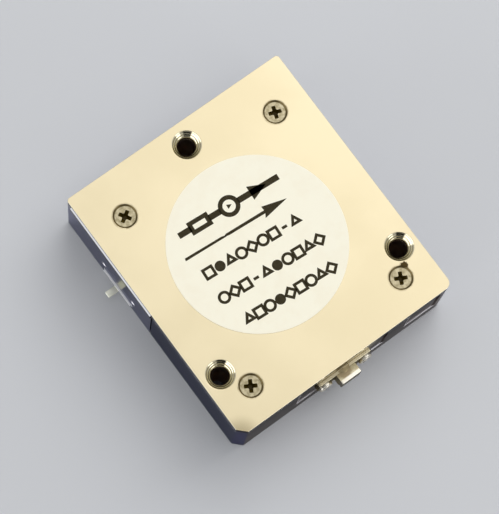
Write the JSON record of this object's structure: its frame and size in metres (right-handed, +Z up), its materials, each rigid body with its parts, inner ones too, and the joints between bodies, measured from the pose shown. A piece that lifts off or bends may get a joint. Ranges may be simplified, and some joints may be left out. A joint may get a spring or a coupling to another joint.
{
  "type": "drop-in radio-frequency isolator",
  "caption": "Flat block-shaped microwave isolator with a screwed cover, round label, solder tabs in side windows, through holes and a load bolted to one wall.",
  "frame": {"origin": "centre of the housing's outline, on the flat base face that is bolted down", "axes": "+X from the input tab to the output tab, as the label's arrow points; +Y from the load's wall to the plain wall; +Z up out of the cover"},
  "size_m": [0.0498, 0.0529, 0.0149],
  "materials": {
    "body_nickel": "bright nickel plate over milled steel, polished side walls",
    "cover_nickel": "satin champagne nickel plate",
    "screw_nickel": "nickel plate, slightly dulled",
    "label_film": "cream polyester film with dark print",
    "soft_iron": "bare soft iron",
    "ferrite": "ground garnet ferrite",
    "ring_ceramic": "sintered dielectric ceramic",
    "conductor_silver": "silver plate over brass",
    "ground_brass": "bare brass",
    "magnet_ferrite": "ground hard ferrite",
    "ring_aluminium": "turned aluminium",
    "shim_elastomer": "metal-filled elastomer",
    "ptfe": "white fluoropolymer",
    "tab_silver": "silver plate over brass, lightly yellowed",
    "flange_nickel": "nickel plate over copper alloy",
    "chip_ceramic": "white substrate ceramic",
    "lid_ceramic": "cream alumina",
    "lead_silver": "silver-plated ribbon",
    "solder_dull": "dull tin solder with flux stain",
    "solder_bright": "bright tin solder",
    "load_screw_nickel": "bright nickel plate"
  },
  "bodies": {
    "root": {"housing": "body_nickel", "cover_plate": "cover_nickel", "cover_screws": "screw_nickel", "label": "label_film", "lower_pole_disc": "soft_iron", "lower_ferrite": "ferrite", "lower_ferrite_ring": "ring_ceramic", "centre_conductor": "conductor_silver", "upper_ferrite": "ferrite", "upper_ferrite_ring": "ring_ceramic", "ground_disc": "ground_brass", "compensation_disc": "soft_iron", "magnet": "magnet_ferrite", "magnet_ring": "ring_aluminium", "pole_plate": "soft_iron", "pressure_shim": "shim_elastomer", "input_insulator": "ptfe", "output_insulator": "ptfe", "load_insulator": "ptfe", "input_tab": "tab_silver", "output_tab": "tab_silver", "load_tab": "tab_silver", "load_flange": "flange_nickel", "load_chip": "chip_ceramic", "load_lid": "lid_ceramic", "load_lead": "lead_silver", "load_fillet": "solder_dull", "load_solder": "solder_bright", "load_screws": "load_screw_nickel"}
  },
  "joints": []
}
